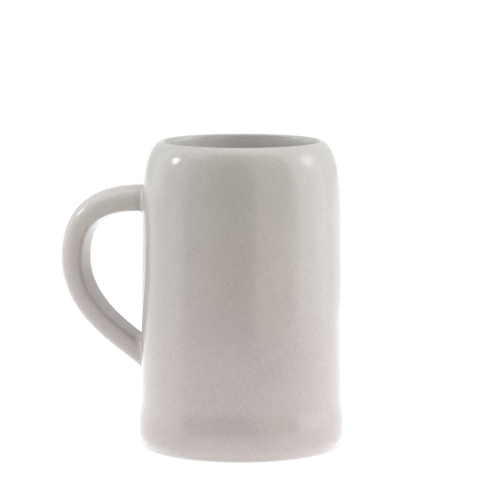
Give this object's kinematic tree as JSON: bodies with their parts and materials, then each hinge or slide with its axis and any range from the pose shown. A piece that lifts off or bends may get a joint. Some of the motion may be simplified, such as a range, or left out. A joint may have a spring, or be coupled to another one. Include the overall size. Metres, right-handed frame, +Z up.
{
  "type": "beer mug",
  "caption": "Half-litre beer mug of glazed stoneware: tall round body with a swollen foot, a shoulder closing to a narrower lip, and a loop handle.",
  "frame": {"origin": "on the axis of the round body, in the plane that the standing ring rests on", "axes": "+Z up along the body's axis, -X from the axis towards the handle, +Y across the handle's width"},
  "size_m": [0.1305, 0.0924, 0.136],
  "materials": {
    "glazed_stoneware": "glossy warm light grey glaze with very fine faint iron specks, bare fired clay on the standing ring"
  },
  "bodies": {
    "root": {"mug": "glazed_stoneware"}
  },
  "joints": []
}
